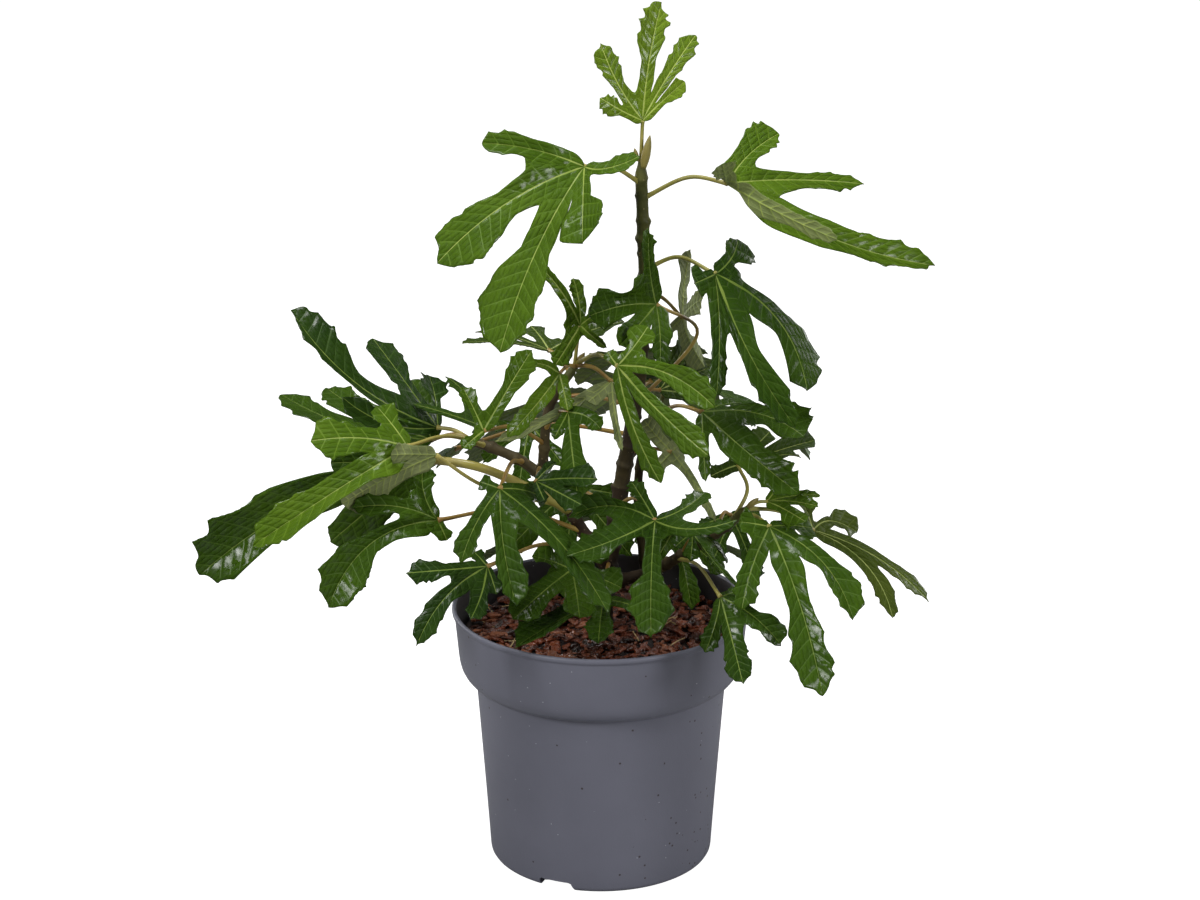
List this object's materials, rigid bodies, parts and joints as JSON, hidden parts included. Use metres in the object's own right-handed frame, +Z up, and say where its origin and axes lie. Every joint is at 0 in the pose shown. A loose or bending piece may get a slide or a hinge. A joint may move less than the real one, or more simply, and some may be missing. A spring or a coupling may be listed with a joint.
{
  "type": "potted fig tree",
  "caption": "Young fig tree with large lobed leaves on a leader and low boughs, rooted in a round blue-grey nursery pot topped with bark mulch.",
  "frame": {"origin": "centre of the flat underside of the pot", "axes": "+Z up along the pot's axis towards the leader's tip; the fuller, front side of the crown faces -Y; +X is to the right seen from the front"},
  "size_m": [0.4986, 0.3556, 0.6073],
  "materials": {
    "pot_plastic": "satin slate blue-grey moulded plastic",
    "compost": "moist dark potting compost",
    "bark_mulch": "dry red-brown bark chips",
    "bark": "thin grey-brown young fig bark, green near the tips",
    "young_leaf": "thin glossy yellow-green leaf",
    "bright_leaf": "glossy mid-green leaf with pale veins",
    "deep_leaf": "glossy dark green leaf with pale veins",
    "olive_leaf": "matt olive green leaf, pale grey-green below"
  },
  "bodies": {
    "root": {"pot": "pot_plastic", "compost": "compost", "bark_mulch": "bark_mulch", "leader": "bark", "left_bough": "bark", "upright_shoot": "bark", "right_bough": "bark", "second_stem": "bark", "back_bough": "bark", "leaf_crown": "young_leaf", "leaf_upper_left": "bright_leaf", "leaf_upper_right": "bright_leaf", "leaf_right_shoulder": "deep_leaf", "leaf_centre_dark": "deep_leaf", "leaf_left_high": "deep_leaf", "leaf_left_bright": "bright_leaf", "leaf_far_left": "deep_leaf", "leaf_left_low": "deep_leaf", "leaf_front_centre": "deep_leaf", "leaf_front_right": "deep_leaf", "leaf_centre_bright": "bright_leaf", "leaf_front_left": "deep_leaf", "leaf_right_middle": "deep_leaf", "leaf_low_left": "deep_leaf", "leaf_low_right": "deep_leaf", "leaf_far_right": "olive_leaf", "leaf_right_small": "bright_leaf", "leaf_low_inner_right": "deep_leaf", "leaf_right_behind": "olive_leaf", "leaf_heart_tall": "bright_leaf", "leaf_heart_behind": "olive_leaf", "leaf_heart_glossy": "bright_leaf", "leaf_heart_left": "bright_leaf", "leaf_heart_underside": "olive_leaf", "leaf_centre_hanging": "deep_leaf", "leaf_centre_glossy": "deep_leaf", "leaf_left_inner": "deep_leaf", "leaf_left_back": "deep_leaf", "leaf_left_underside": "olive_leaf", "leaf_behind_pale": "olive_leaf", "leaf_behind_olive": "olive_leaf", "leaf_inner_pale": "olive_leaf", "leaf_low_front": "deep_leaf", "leaf_low_shade": "deep_leaf", "leaf_back_high": "deep_leaf", "leaf_back_right": "deep_leaf", "leaf_back_right_low": "deep_leaf", "leaf_back_middle": "deep_leaf", "leaf_back_left": "deep_leaf", "leaf_back_left_low": "deep_leaf", "leaf_back_far_left": "deep_leaf", "leaf_back_far_right": "deep_leaf", "leaf_back_low": "deep_leaf", "leaf_back_rim_left": "deep_leaf", "leaf_back_rim_right": "deep_leaf"}
  },
  "joints": []
}
